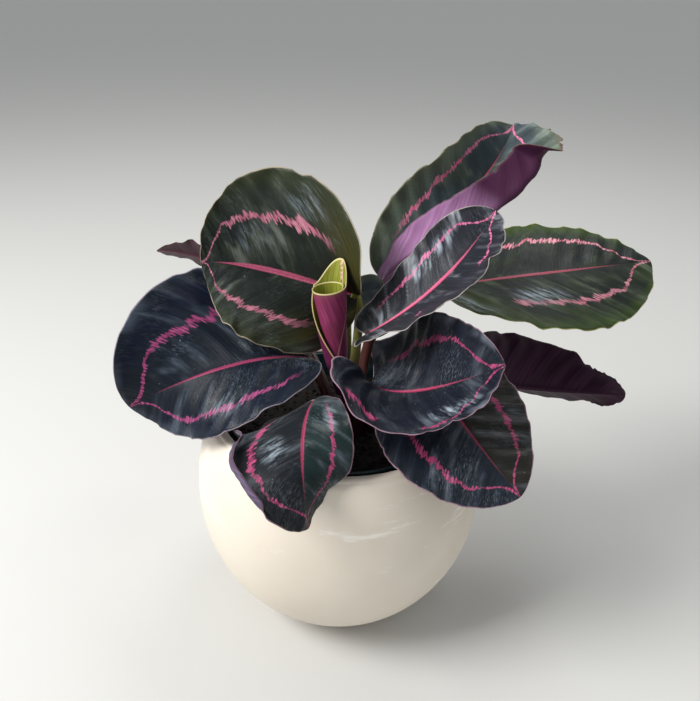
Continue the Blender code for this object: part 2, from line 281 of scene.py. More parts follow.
def finish_shader(tree, shader, colour, roughness, height, depth, specular):
    """Plugs the shader. Depth is the bump height in millimetres."""
    plug(tree, shader.inputs["Base Color"], colour)
    plug(tree, shader.inputs["Roughness"], roughness)
    plug(tree, shader.inputs["Specular IOR Level"], specular)
    relief = add(tree, "ShaderNodeBump", named={"Height": height, "Distance": depth * MM, "Strength": 1.0})
    plug(tree, shader.inputs["Normal"], relief)


# ---------------------------------------------------------------- leaf materials


# In each look, streak is the pale colour of the painted sheen and highlight streaks.
LOOKS = {
    "navy": dict(
        inner="#101823", outer="#081024", edge="#161d2a", base="#1a2228", streak="#56606c",
        ring="#7c2c56", ring_pale="#a04a78", rib="#a03c60", rim="#8a8088",
        painted_sheen=0.75, dust=0.40, shine=0.15,
    ),
    "coal": dict(
        inner="#1a1e24", outer="#12151c", edge="#1a1a1c", base="#0b0d12", streak="#6a727c",
        ring="#8a3056", ring_pale="#b04a74", rib="#a83a5c", rim="#8e6f7c",
        painted_sheen=0.80, dust=0.60, shine=0.15,
    ),
    "slate": dict(
        inner="#22242d", outer="#2a2933", edge="#1e2021", base="#1f251f", streak="#aeb3bc",
        ring="#c2487c", ring_pale="#da7ea4", rib="#d2547c", rim="#948a88",
        painted_sheen=0.95, dust=0.35, shine=0.22,
    ),
    "green": dict(
        inner="#161d1a", outer="#272e27", edge="#30361f", base="#423d0d", streak="#6b7169",
        ring="#9c5068", ring_pale="#b87888", rib="#98425e", rim="#9c907c",
        painted_sheen=0.85, dust=0.30, shine=0.15,
    ),
    # This look's colours are lightened to stand for the light falling on the leaf: painted light.
    "sage": dict(
        inner="#4a555a", outer="#647067", edge="#66715b", base="#525f4a", streak="#99a094",
        ring="#dd5f8e", ring_pale="#ea93b2", rib="#dc6488", rim="#8f8870",
        painted_sheen=0.70, dust=0.30, shine=0.20,
    ),
    "olive": dict(
        inner="#121a16", outer="#1b261a", edge="#3a4d1a", base="#46540f", streak="#77826c",
        ring="#bd4c6c", ring_pale="#dfa4ac", rib="#b8485e", rim="#9a9a5c",
        painted_sheen=0.60, dust=0.20, shine=0.15,
    ),
}
# Each underside has a low and a high colour across its veins, and the colour of its far part. Some are copies
# of the burgundy in painted light: the very dark one is painted shade, the lavender one painted sheen, and
# the mauve one painted lit, with its far part in painted shade.
UNDERSIDES = {
    "plum": ("#452038", "#6b4460", "#6b4460"),
    "near_black": ("#2a1222", "#42203a", "#42203a"),
    "dusty": ("#402631", "#543946", "#543946"),
    "lavender": ("#4c4056", "#6c5c76", "#6c5c76"),
    "mauve": ("#8b5f86", "#a67ea4", "#43203a"),
}


def blade_coordinates(tree):
    """What the mesh says at each point of a blade.

    across is in mm from the midrib, share the same as a part of the half width, margin in mm from the
    margin. side is 0 on the left half and 1 on the right one, run goes from 0 at the base to 1 at the tip,
    and vein is where the vein left the midrib.
    """
    names = ("along_mm", "across_mm", "share", "margin_mm", "side", "run")
    numbers = [add(tree, "number", attribute_name=name).outputs["Fac"] for name in names]
    along, across, share, margin, side, run = numbers
    lean = add(tree, "minus", along, add(tree, "times", across, VEIN_LEAN))
    bend = add(tree, "times", add(tree, "times", across, across), VEIN_BEND)
    vein = add(tree, "minus", lean, bend)
    return SimpleNamespace(across=across, share=share, margin=margin, side=side, run=run, vein=vein)


def along_veins(tree, vein, across, seed, steps, detail=3.0, roughness=0.6):
    """Noise drawn out along the veins. Steps are the turns per mm across the veins and along them."""
    over_veins = add(tree, "times", vein, steps[0])
    on_vein = add(tree, "times", across, steps[1])
    return add(tree, "noise", add(tree, "point", over_veins, on_vein, seed), 1.0, detail, roughness)


def jitter(tree, value, amount):
    """Turns a number round one half into one round zero, of the given spread."""
    return add(tree, "times", add(tree, "minus", value, 0.5), amount)


def ring_middle(tree, leaf, at, jump, seed):
    """Where the ring lies, as a share of the half width: it wanders, and runs in to the midrib at the tip."""
    left, right = leaf["ring"]
    slow = along_veins(tree, at.vein, 0.0, add(tree, "plus", at.shift, seed + 11.0), (0.09, 0.0), 1.0, 0.5)
    middle = add(tree, "fade", at.shift, 0.0, HALF_SHIFT, left, right)
    middle = add(tree, "plus", middle, jitter(tree, slow, 0.20))
    middle = add(tree, "plus", middle, jitter(tree, jump, 0.045))
    return add(tree, "times", middle, add(tree, "fade", at.run, 0.80, 0.97, 1.0, 0.1))


def pink_ring(tree, leaf, seed, at):
    """One bar of pigment on each fine vein, its middle and length jumping from vein to vein."""
    fleck = add(tree, "plus", add(tree, "over", at.vein, FLECK_WIDTH), add(tree, "times", at.shift, 9.0))
    fleck = add(tree, "floor", fleck)
    jump = add(tree, "chance", fleck)
    reach = add(tree, "chance", add(tree, "plus", fleck, 517.3))
    off = add(tree, "size", add(tree, "minus", at.share, ring_middle(tree, leaf, at, jump, seed)))
    patch = along_veins(tree, at.vein, 0.0, add(tree, "plus", at.shift, seed + 17.0), (0.16, 0.0), 1.0, 0.5)
    broad = add(tree, "fade", patch, 0.34, 0.62, 0.012, RING_HALF_SHARE)
    length = add(tree, "plus", add(tree, "times", broad, add(tree, "plus", reach, 0.5)), 0.006)
    inside = add(tree, "fade", add(tree, "minus", off, length), -0.010, 0.012, 1.0, 0.0)
    inside = add(tree, "times", inside, add(tree, "fade", patch, 0.25, 0.40, 0.25, 1.0))
    apart = add(tree, "plus", at.shift, seed + 23.0)
    worn = along_veins(tree, at.vein, at.share, apart, (0.9, 14.0), 2.0, 0.6)
    inside = add(tree, "times", inside, add(tree, "fade", worn, 0.32, 0.56, 0.35, 1.0))
    for half, start, end in leaf.get("gaps", ()):
        starts = add(tree, "fade", at.run, start - 0.03, start)
        window = add(tree, "times", starts, add(tree, "fade", at.run, end + 0.03, end))
        on_side = add(tree, "fade", at.shift, 1.0, HALF_SHIFT - 1.0, 1.0 - half, float(half))
        kept = add(tree, "minus", 1.0, add(tree, "times", window, on_side))
        inside = add(tree, "times", inside, kept)
    return add(tree, "times", inside, add(tree, "fade", at.run, 0.12, 0.3)), reach


def ground_tone(tree, leaf, at, paint):
    """The leaf's own greens and blues: inside the ring, outside it, at the base and at the margin."""
    tone = add(tree, "blend", add(tree, "fade", at.share, 0.4, 0.75), paint["inner"], paint["outer"])
    tone = add(tree, "blend", add(tree, "fade", at.cloud, 0.45, 0.7, 0.0, 0.5), tone, paint["edge"])
    outward = add(tree, "fade", at.share, 0.35, 0.9, 0.15, 1.0)
    near_base = add(tree, "times", add(tree, "fade", at.run, 0.42, 0.05), outward)
    tone = add(tree, "blend", near_base, tone, paint["base"])
    tone = add(tree, "blend", add(tree, "fade", at.share, 0.72, 0.95, 0.0, 0.8), tone, paint["edge"])
    if "tint" not in leaf:
        return tone
    left, right = (linear(code) for code in leaf["tint"])
    return add(tree, "blend", 0.45, tone, add(tree, "blend", at.side, left, right))


def painted_sheen_share(tree, leaf, at, fold, full):
    """How much painted sheen the skin gets: painted highlight streaks along the veins, on the crests of the
    folds and near the tip.
    """
    streaks = add(tree, "fade", at.fine, 0.30, 0.70, 0.45, 1.0)
    streaks = add(tree, "times", add(tree, "fade", at.broad, 0.47, 0.70), streaks)
    streaks = add(tree, "times", streaks, add(tree, "fade", at.cloud, 0.44, 0.62))
    grained = add(tree, "fade", at.fine, 0.35, 0.6, 0.35, 1.0)
    crest = add(tree, "times", add(tree, "fade", fold, 0.20, 0.56), grained)
    left, right = leaf.get("crest", (0.42, 0.42))
    crest = add(tree, "times", crest, add(tree, "fade", at.side, 0.0, 1.0, left, right))
    painted_sheen = add(tree, "times", add(tree, "larger", streaks, crest), leaf.get("painted_sheen", full))
    near_margin = add(tree, "fade", at.margin, 9.0, 2.0)
    painted_tip_sheen = add(tree, "times", add(tree, "fade", at.run, 0.62, 0.85), near_margin)
    painted_tip_sheen = add(tree, "times", painted_tip_sheen, add(tree, "fade", at.cloud, 0.40, 0.60))
    return add(tree, "larger", painted_sheen, add(tree, "times", painted_tip_sheen, leaf.get("painted_tip_sheen", 0.0)))


def midrib_stripe(tree, leaf, at, paint, tone):
    """The pink stripe swells from the stalk, frays at its sides, and narrows to nothing near the tip."""
    half_mm = leaf.get("rib", STRIPE_HALF)
    swell = add(tree, "fade", at.run, -0.1, 0.35, 0.35, 1.0)
    swell = add(tree, "times", swell, add(tree, "fade", at.run, 0.5, 0.9, 1.0, 0.0))
    half = add(tree, "times", swell, half_mm)
    edge = add(tree, "minus", add(tree, "plus", at.across, jitter(tree, at.fine, 1.8)), half)
    stripe = add(tree, "times", add(tree, "fade", edge, 0.35, -0.35), add(tree, "fade", at.run, 0.90, 0.80))
    stripe = add(tree, "times", stripe, min(half_mm, 1.0))
    tone = add(tree, "blend", stripe, tone, paint["rib"])
    pale = add(tree, "times", stripe, add(tree, "fade", at.fine, 0.42, 0.6, 0.0, 0.35))
    tone = add(tree, "blend", pale, tone, paint["ring_pale"])
    channel = add(tree, "times", stripe, add(tree, "fade", at.across, 0.45, 0.15, 0.0, 0.4))
    return add(tree, "blend", channel, tone, linear("#8a1f3f"))


def dry_margin(tree, leaf, at, paint, tone):
    """A thin dry line round the margin, missing here and there, and on one leaf a withered tip."""
    uneven = add(tree, "fade", at.cloud, 0.3, 0.5, 0.35, 1.0)
    dry = add(tree, "times", add(tree, "fade", at.margin, 0.75, 0.3), uneven)
    tone = add(tree, "blend", dry, tone, paint["rim"])
    if "dry_tip" not in leaf:
        return tone
    late = add(tree, "fade", at.run, leaf["dry_tip"], leaf["dry_tip"] + 0.08)
    ragged = add(tree, "minus", at.margin, add(tree, "times", at.fine, 4.0))
    withered = add(tree, "times", add(tree, "fade", ragged, 1.2, -0.4), add(tree, "times", late, at.side))
    return add(tree, "blend", withered, tone, linear("#6b5a48"))


def painted_highlight_patches(tree, leaf, at, tone):
    """Painted highlights: pale patches where light glints on the gloss, broken up along the veins."""
    runs = along_veins(tree, at.vein, at.across, add(tree, "plus", at.deep, 41.0), (0.30, 0.06), 5.0, 0.75)
    for half, run, share, strength in leaf.get("painted_highlights", ()):
        run_off = add(tree, "over", add(tree, "minus", at.run, run), 0.16)
        share_off = add(tree, "over", add(tree, "minus", at.share, share), 0.24)
        away = add(tree, "length", add(tree, "point", run_off, share_off))
        patch = add(tree, "times", add(tree, "fade", away, 1.0, 0.2), add(tree, "fade", runs, 0.44, 0.66))
        on_side = at.side if half else add(tree, "minus", 1.0, at.side)
        patch = add(tree, "times", add(tree, "times", patch, on_side), strength)
        tone = add(tree, "blend", patch, tone, linear("#a9b6c0"))
    return tone


def waxy_leaf(name, leaf, seed):
    """Waxy living leaf, upper side: satin cuticle over pleated veins, and a pink ring feathered by them."""
    material, tree, shader = new_material(name)
    look = LOOKS[leaf["look"]]
    paint = {key: linear(code) for key, code in look.items() if isinstance(code, str)}
    at = blade_coordinates(tree)
    at.shift = add(tree, "times", at.side, HALF_SHIFT)
    at.deep = add(tree, "plus", at.shift, seed)
    # Streaks about 10 mm, 1 mm and 20 mm apart.
    at.broad = along_veins(tree, at.vein, at.across, at.deep, (0.10, 0.02))
    at.fine = along_veins(tree, at.vein, at.across, add(tree, "plus", at.deep, 5.0), (0.8, 0.07), 3.0, 0.7)
    at.cloud = along_veins(tree, at.vein, at.across, add(tree, "plus", at.deep, 9.0), (0.05, 0.045))
    tone = ground_tone(tree, leaf, at, paint)
    # Painted shade: the skin in the valleys between the folds is darkened where shade falls.
    fold = add(tree, "number", attribute_name="fold").outputs["Fac"]
    tone = add(tree, "blend", add(tree, "fade", fold, 0.35, -0.3, 0.0, 0.35), tone, linear("#0c0f12"))
    # Painted sheen: pale streaks along the veins, on the fold crests and faint fine ones stand for
    # highlights.
    tone = add(tree, "blend", painted_sheen_share(tree, leaf, at, fold, look["painted_sheen"]), tone, paint["streak"])
    tone = add(tree, "blend", add(tree, "fade", at.fine, 0.55, 0.75, 0.0, 0.10), tone, paint["streak"])
    present, reach = pink_ring(tree, leaf, seed, at)
    tone = add(tree, "blend", present, tone, add(tree, "blend", reach, paint["ring"], paint["ring_pale"]))
    tone = midrib_stripe(tree, leaf, at, paint, tone)
    tone = dry_margin(tree, leaf, at, paint, tone)
    tone = painted_highlight_patches(tree, leaf, at, tone)
    # Scuffs of mineral deposit under 1 mm across, in drifts about 26 mm wide that also stand for painted
    # sheen, and specks of 2 mm.
    place = add(tree, "ShaderNodeTexCoord").outputs["Object"]
    drift = add(tree, "noise", place, 38.0, 3.0, 0.6)
    dust = along_veins(tree, at.vein, at.across, add(tree, "plus", at.deep, 31.0), (1.5, 0.45), 3.0, 0.7)
    dust_and_sheen_patches = add(tree, "times", add(tree, "fade", dust, 0.46, 0.80), add(tree, "fade", drift, 0.46, 0.72))
    tone = add(tree, "blend", add(tree, "times", dust_and_sheen_patches, look["dust"]), tone, linear("#8d949c"))
    speck = add(tree, "fade", add(tree, "noise", place, 520.0, 1.0, 0.5), 0.78, 0.82, 0.0, 0.4)
    tone = add(tree, "blend", speck, tone, linear("#9aa2a8"))
    dull = add(tree, "fade", dust, 0.5, 0.8, 0.0, 0.12)
    rough = add(tree, "plus", add(tree, "fade", drift, 0.35, 0.7, 0.44, 0.27), dull)
    height = add(tree, "plus", add(tree, "times", at.fine, 0.7), add(tree, "times", dust, 0.2))
    finish_shader(tree, shader, tone, rough, height, 0.4, look["shine"])
    return material


def purple_underside(name, kind, seed):
    """Leaf underside: matt burgundy, with fine raised veins that show lighter."""
    material, tree, shader = new_material(name)
    low, high, far = (linear(code) for code in UNDERSIDES[kind])
    at = blade_coordinates(tree)
    fine = along_veins(tree, at.vein, at.across, seed, (0.55, 0.03))
    wide = along_veins(tree, at.vein, at.across, seed + 4.0, (0.12, 0.01))
    tone = add(tree, "blend", add(tree, "fade", fine, 0.35, 0.75), low, high)
    tone = add(tree, "blend", add(tree, "fade", wide, 0.35, 0.7, 0.0, 0.35), tone, low)
    # Painted shade: this underside turns dark burgundy along its far part.
    if kind == "mauve":
        tone = add(tree, "blend", add(tree, "fade", at.run, 0.45, 0.62), tone, far)
    rib_share = 0.0 if kind == "near_black" else 0.35
    rib = add(tree, "fade", at.across, 2.4, 1.2, 0.0, rib_share)
    tone = add(tree, "blend", rib, tone, linear("#7d4a58"))
    tone = add(tree, "blend", add(tree, "fade", at.margin, 1.0, 0.4, 0.0, 0.6), tone, linear("#4a2f30"))
    finish_shader(tree, shader, tone, add(tree, "fade", fine, 0.3, 0.7, 0.45, 0.58), fine, 0.25, 0.15)
    return material


def stalk_skin(name, low, high):
    """Leaf stalk skin: smooth and slightly ribbed lengthwise, darker low down."""
    material, tree, shader = new_material(name)
    place = add(tree, "ShaderNodeTexCoord").outputs["Object"]
    split = add(tree, "ShaderNodeSeparateXYZ", named={0: place})
    rise = add(tree, "fade", split.outputs[2], 0.112, 0.165)
    stretched = add(tree, "ShaderNodeMapping", named={"Vector": place, "Scale": (900.0, 900.0, 60.0)})
    ribs = add(tree, "noise", stretched, 1.0, 2.0, 0.6)
    tone = add(tree, "blend", rise, linear(low), linear(high))
    tone = add(tree, "blend", add(tree, "fade", ribs, 0.45, 0.7, 0.0, 0.5), tone, linear("#5b3026"))
    finish_shader(tree, shader, tone, 0.42, ribs, 0.15, 0.5)
    return material


# ---------------------------------------------------------------- leaf shapes


def unit(vectors):
    return vectors / np.linalg.norm(vectors, axis=-1, keepdims=True)


def smooth(x):
    x = np.clip(x, 0.0, 1.0)
    return x * x * (3.0 - 2.0 * x)


def bump(s, rise, fall):
    """A hump over 0..1 with peak height 1, steep at both ends."""
    peak = rise / (rise + fall)
    return s**rise * (1.0 - s) ** fall / (peak**rise * (1.0 - peak) ** fall)


def midrib(leaf, s):
    base, mid, tip = (np.array(leaf[key], float) for key in ("base", "mid", "tip"))
    control = 2.0 * mid - (base + tip) / 2.0
    s = np.asarray(s, float)[..., None]
    point = (1 - s) ** 2 * base + 2 * s * (1 - s) * control + s**2 * tip
    along = unit(2 * (1 - s) * (control - base) + 2 * s * (tip - control))
    return point, along


def facing(leaf, s, along):
    start, end = (unit(np.array(face, float)) for face in leaf["face"])
    s = np.asarray(s, float)[..., None]
    face = unit(start * (1 - s) + end * s)
    return unit(face - (face * along).sum(-1, keepdims=True) * along)


def half_width(leaf, s, right):
    left_side = leaf["half"][0] * bump(s, leaf["rounding"][0], leaf["point"][0])
    right_side = leaf["half"][1] * bump(s, leaf["rounding"][1], leaf["point"][1])
    return np.where(right, right_side, left_side)


def blade_surface(leaf, s, v):
    """Middle surface of a blade: s runs from base to tip, v from the left margin (-1) to the right (1)."""
    s, v = np.broadcast_arrays(np.asarray(s, float), np.asarray(v, float))
    point, along = midrib(leaf, s)
    up = facing(leaf, s, along)
    side = np.cross(along, up)
    right = v > 0
    across = np.abs(v)
    cup, curl, lobe = (np.where(right, leaf[key][1], leaf[key][0]) for key in ("cup", "curl", "lobe"))
    width = half_width(leaf, s, right)
    fractions = (np.arange(40) + 0.5) / 40
    walked = across[..., None] * fractions
    slope = np.radians(cup)[..., None] + np.radians(curl)[..., None] * walked
    if "fold" in leaf:
        start, end, angle, first, last = leaf["fold"]
        where = (start + (end - start) * s)[..., None]
        active = smooth((s - first) / 0.1) * (1.0 - smooth((s - last) / 0.1))
        amount = (np.where(right, 1.0, 0.0) * active)[..., None]
        slope = slope + amount * np.radians(angle) * smooth((walked - where) / 0.16)
    out = across * np.cos(slope).mean(-1)
    lift = across * np.sin(slope).mean(-1)
    back = -lobe * across**2 * bump(s, 0.5, 4.0)
    point = point + side * (np.sign(v) * width * out)[..., None]
    return point + up * (width * lift)[..., None] + along * back[..., None]


def grid_normals(grid):
    down = np.gradient(grid, axis=0)
    over = np.gradient(grid, axis=1)
    return unit(np.cross(over, down))


def waves(values, seed, steps):
    """A smooth random wave over the values, about -1 to 1, from a few sines."""
    chance = random.Random(seed)
    total = np.zeros_like(values)
    for step in steps:
        total += np.sin(values * step + chance.uniform(0, 6.28)) * chance.uniform(0.5, 1.0)
    return total / len(steps)


def margin_share(leaf, along, share, right, seed):
    """How far the margin reaches, as a share of the smooth outline: shallow scallops, nicks and torn tips."""
    side = np.where(right, MARGIN_SHIFT, 0.0)
    dips = np.clip(waves(along + side, seed + 6, (0.2, 0.33, 0.52)) - 0.2, 0, 1)
    nicks = np.clip(waves(along + side, seed + 7, (0.9, 1.4, 2.3)) - 0.45, 0, 1)
    reach = 1.0 - 0.06 * leaf.get("scallop", 1.0) * dips - 0.018 * nicks
    for at, start, end, depth in leaf.get("torn", ()):
        window = smooth((share - start) / 0.05) * smooth((end - share) / 0.04) * (right == bool(at))
        jag = 0.55 + 0.45 * waves(along, seed + 8, (0.9, 1.7, 2.9))
        reach = reach - depth * window * jag
    return reach


def blade_grid(leaf, seed):
    """The blade's middle surface with pleats and a wavy margin, and the numbers that its materials read."""
    s = 0.5 - 0.5 * np.cos(np.pi * np.linspace(0.012, 0.988, ROWS))
    u = np.linspace(-1, 1, 2 * HALF_COLUMNS + 1)
    v = np.sign(u) * np.abs(u) ** 1.25
    s, v = np.meshgrid(s, v, indexing="ij")
    right = v > 0
    length = np.linalg.norm(np.array(leaf["tip"], float) - np.array(leaf["base"], float)) * 1.05
    width = half_width(leaf, s, right)
    reach = 1.0 - (1.0 - margin_share(leaf, s * length, s, right, seed)) * np.abs(v) ** 3
    grid = blade_surface(leaf, s, v * reach)
    across = np.abs(v) * width
    along = s * length
    vein = along - VEIN_LEAN * across - VEIN_BEND * across**2 + np.where(right, HALF_SHIFT, 0.0)
    normal = grid_normals(grid)
    folds = vein * 0.26 + 0.9 * waves(vein, seed + 1, (0.05, 0.09)) + seed
    crease = 0.64 - np.abs(np.sin(folds))
    strength = np.clip(0.5 + 0.5 * waves(vein, seed + 3, (0.04, 0.07)), 0, 1) * leaf.get("pleat", 1.0)
    inward = smooth(np.abs(v) / 0.25) * smooth(width / 15)
    pleat = (1.9 * crease * strength + 0.2 * waves(vein, seed + 4, (1.1, 1.5))) * inward
    ripple = waves(along + np.where(right, MARGIN_SHIFT, 0.0), seed + 2, (0.22, 0.36, 0.5))
    flutter = 2.2 * ripple * np.abs(v) ** 4 * smooth(width / 15)
    groove = -0.5 * np.exp(-((across / 1.3) ** 2)) * (1.0 - s)
    grid = grid + normal * (pleat + flutter + groove)[..., None]
    numbers = {
        "along_mm": along,
        "across_mm": across,
        "share": np.abs(v),
        "margin_mm": (1 - np.abs(v)) * width,
        "side": right.astype(float),
        "run": s,
        "fold": crease * strength * inward,
    }
    return grid, numbers, width


def rim_loop(rows, columns):
    loop = list(range(columns))
    loop += [i * columns + columns - 1 for i in range(1, rows)]
    loop += [(rows - 1) * columns + j for j in range(columns - 2, -1, -1)]
    return loop + [i * columns for i in range(rows - 2, 0, -1)]


def mesh_piece(name, points, faces, materials, slots=None, numbers=None):
    mesh = bpy.data.meshes.new(name)
    mesh.from_pydata((np.asarray(points, float) * MM).tolist(), [], faces)
    for material in materials:
        mesh.materials.append(material)
    if slots is not None:
        mesh.polygons.foreach_set("material_index", np.asarray(slots, np.int32))
    for key, values in (numbers or {}).items():
        numbered = mesh.attributes.new(key, "FLOAT", "POINT")
        numbered.data.foreach_set("value", np.asarray(values, np.float32).ravel())
    mesh.polygons.foreach_set("use_smooth", np.ones(len(mesh.polygons), bool))
    mesh.update()
    piece = bpy.data.objects.new(name, mesh)
    bpy.context.scene.collection.objects.link(piece)
    return piece


def plate(grid, above, below, numbers):
    """A closed plate over a grid. Slot 0 is the upper side and the edge, and slot 1 the underside."""
    rows, columns = grid.shape[:2]
    normal = grid_normals(grid)
    top = grid + normal * above[..., None]
    under = grid - normal * below[..., None]
    points = np.concatenate([top.reshape(-1, 3), under.reshape(-1, 3)])
    count = rows * columns
    cells = np.arange(count).reshape(rows, columns)
    corners = (cells[:-1, :-1], cells[:-1, 1:], cells[1:, :-1], cells[1:, 1:])
    a, b, c, d = (corner.ravel() for corner in corners)
    upper = np.stack([a, b, d, c], 1)
    lower = np.stack([a, c, d, b], 1) + count
    loop = np.array(rim_loop(rows, columns))
    after = np.roll(loop, -1)
    edge = np.stack([after, loop, loop + count, after + count], 1)
    faces = np.concatenate([upper, lower, edge]).tolist()
    slots = [0] * len(upper) + [1] * len(lower) + [0] * len(edge)
    doubled = {key: np.concatenate([values.ravel(), values.ravel()]) for key, values in numbers.items()}
    return points, faces, slots, doubled


def blade_piece(name, leaf, seed):
    grid, numbers, width = blade_grid(leaf, seed)
    across = numbers["across_mm"]
    ridge = 1.5 * (1 - numbers["run"]) ** 0.8 * np.exp(-((across / 1.5) ** 2)) * smooth(width / 6)
    thin = BLADE_THICKNESS / 2 * (0.35 + 0.65 * smooth(numbers["margin_mm"] / 1.0))
    points, faces, slots, doubled = plate(grid, thin, thin + ridge, numbers)
    upper = waxy_leaf("waxy_leaf_" + name, leaf, seed)
    under = purple_underside("leaf_underside_" + name, leaf.get("under", "plum"), seed)
    return mesh_piece(name + "_blade", points, faces, [upper, under], slots, doubled)


# ---------------------------------------------------------------- stalks


def bezier(p0, p1, p2, p3, count):
    t = np.linspace(0, 1, count)[:, None]
    return (1 - t) ** 3 * p0 + 3 * t * (1 - t) ** 2 * p1 + 3 * t**2 * (1 - t) * p2 + t**3 * p3


def stalk_path(leaf, count=24):
    point, along = midrib(leaf, np.array([0.03]))
    up = facing(leaf, np.array([0.03]), along)[0]
    arrive = unit(0.8 * along[0] + 0.6 * up)
    end = point[0] - up * 0.9
    foot = np.array([*leaf["foot"], STALK_START - 1.0])
    rise = np.linalg.norm(end - foot)
    sway = leaf.get("sway", (0.0, 0.0))
    first = foot + np.array([sway[0], sway[1], 0.35 * rise])
    before = end - arrive * 0.14 * rise
    return bezier(foot, first, before, end, count)


def tube_tree():
    """Sweeps a round section along a curve whose radius is set point by point, and closes its ends."""
    tree = bpy.data.node_groups.new("stalk_sweep", "GeometryNodeTree")
    tree.interface.new_socket("Path", in_out="INPUT", socket_type="NodeSocketGeometry")
    tree.interface.new_socket("Sides", in_out="INPUT", socket_type="NodeSocketInt")
    tree.interface.new_socket("Skin", in_out="INPUT", socket_type="NodeSocketMaterial")
    tree.interface.new_socket("Stalk", in_out="OUTPUT", socket_type="NodeSocketGeometry")
    given = add(tree, "NodeGroupInput")
    sides = given.outputs["Sides"]
    ring = add(tree, "GeometryNodeCurvePrimitiveCircle", named={"Resolution": sides, "Radius": 1.0})
    radius = add(tree, "GeometryNodeInputRadius")
    swept = {"Curve": given.outputs["Path"], "Profile Curve": ring, "Fill Caps": True}
    sweep = add(tree, "GeometryNodeCurveToMesh", named=swept)
    # Without a scale the sweep already follows the radius of each point of the curve.
    if "Scale" in sweep.inputs:
        plug(tree, sweep.inputs["Scale"], radius)
    even = add(tree, "GeometryNodeSetShadeSmooth", named={"Geometry": sweep})
    real = add(tree, "GeometryNodeRealizeInstances", named={"Geometry": even})
    skin = add(tree, "GeometryNodeSetMaterial", named={"Geometry": real, "Material": given.outputs["Skin"]})
    add(tree, "NodeGroupOutput", named={0: skin})
    return tree


def set_input(modifier, name, value):
    for item in modifier.node_group.interface.items_tree:
        if item.item_type == "SOCKET" and item.in_out == "INPUT" and item.name == name:
            modifier[item.identifier] = value


def baked(source, name):
    """The evaluated object as a plain mesh piece, and the source removed."""
    graph = bpy.context.evaluated_depsgraph_get()
    graph.update()
    mesh = bpy.data.meshes.new_from_object(source.evaluated_get(graph), depsgraph=graph)
    mesh.name = name
    bpy.data.objects.remove(source)
    piece = bpy.data.objects.new(name, mesh)
    bpy.context.scene.collection.objects.link(piece)
    return piece


def stalk_piece(name, path, radii, tree, skin):
    curve = bpy.data.curves.new(name + "_path", "CURVE")
    curve.dimensions = "3D"
    line = curve.splines.new("POLY")
    line.points.add(len(path) - 1)
    for point, place, radius in zip(line.points, path, radii):
        point.co = (*(place * MM), 1.0)
        point.radius = radius * MM
    source = bpy.data.objects.new(name + "_source", curve)
    bpy.context.scene.collection.objects.link(source)
    modifier = source.modifiers.new("sweep", "NODES")
    modifier.node_group = tree
    set_input(modifier, "Sides", 20)
    set_input(modifier, "Skin", skin)
    return baked(source, name)


def stalk_radii(thickness, count):
    """Thick where the sheath clasps the crown, slim above, and swollen just under the blade."""
    t = np.linspace(0, 1, count)
    sheath = 0.6 * np.exp(-t / 0.18)
    joint = 0.12 * smooth((t - 0.82) / 0.1) * (1 - 0.6 * smooth((t - 0.93) / 0.07))
    return thickness * (0.85 + sheath + joint)


# ---------------------------------------------------------------- rolled new leaf


def rolled_grid(rows=70, columns=240):
    """The young leaf: a sheet rolled into a trumpet, its outer wrap rising to a flap at the back right."""
    bottom, top = np.array(ROLL_BOTTOM), np.array(ROLL_TOP)
    axis = unit(top - bottom)
    right = unit(np.cross(np.array([0.0, 1.0, 0.0]), axis))
    back = np.cross(axis, right)
    h, turn = np.meshgrid(np.linspace(0, 1, rows), np.linspace(0, 1, columns), indexing="ij")
    angle = ROLL_START + (ROLL_TURN + ROLL_EXTRA_BELOW * (1 - h)) * turn
    flap = smooth((angle - 350.0) / 55.0) * smooth((500.0 - angle) / 90.0)
    free_edge = smooth((angle - 455.0) / 80.0) * smooth(h / 0.4)
    radius = ROLL_LOW_RADIUS + ROLL_WIDENING * h + ROLL_PITCH * (angle - 345.0) / 360.0
    radius = radius + 2.6 * flap * h**5 + 1.2 * free_edge
    centre = bottom + (top - bottom) * h[..., None] + axis * (11.5 * flap * h**4)[..., None]
    radians = np.radians(angle)
    ring = right * np.cos(radians)[..., None] + back * np.sin(radians)[..., None]
    return centre + ring * radius[..., None], h, turn, angle


def rolled_outside(tree, tone, angle, h, blush):
    """Darker low down. The second margin shows as a pale line in front, with a darker wrap beyond it."""
    tone = add(tree, "blend", add(tree, "fade", h, 0.1, 0.6, 0.7, 0.0), tone, linear("#3f1238"))
    tone = add(tree, "blend", add(tree, "fade", blush, 0.45, 0.7, 0.0, 0.45), tone, linear("#6e2a3c"))
    line = add(tree, "plus", FRONT_EDGE_BELOW, add(tree, "times", h, FRONT_EDGE_TOP - FRONT_EDGE_BELOW))
    past = add(tree, "minus", angle, line)
    reaches = add(tree, "fade", h, 0.72, 0.86, 1.0, 0.0)
    wrap = add(tree, "times", add(tree, "fade", past, 0.0, 3.0, 0.0, 0.55), reaches)
    tone = add(tree, "blend", wrap, tone, linear("#47123a"))
    pale = add(tree, "fade", add(tree, "size", past), 2.0, 5.0, 0.8, 0.0)
    tone = add(tree, "blend", add(tree, "times", pale, reaches), tone, linear("#b0806f"))
    return add(tree, "blend", add(tree, "fade", h, 0.93, 1.0, 0.0, 0.25), tone, linear("#7a6a3a"))


def rolled_inside(tree, tone, angle, h, turn, blush):
    """Yellow-green, blotched with olive, and a broken pale pink streak up the flap."""
    tone = add(tree, "blend", add(tree, "fade", blush, 0.4, 0.7, 0.0, 0.5), tone, linear("#7d6f1e"))
    off = add(tree, "size", add(tree, "minus", angle, 405.0))
    place = add(tree, "point", add(tree, "times", h, 45.0), add(tree, "times", turn, 40.0))
    broken = add(tree, "fade", add(tree, "noise", place, 1.0), 0.38, 0.5)
    streak = add(tree, "times", add(tree, "fade", off, 2.0, 8.0, 1.0, 0.0), broken)
    return add(tree, "blend", streak, tone, linear("#dcb09c"))


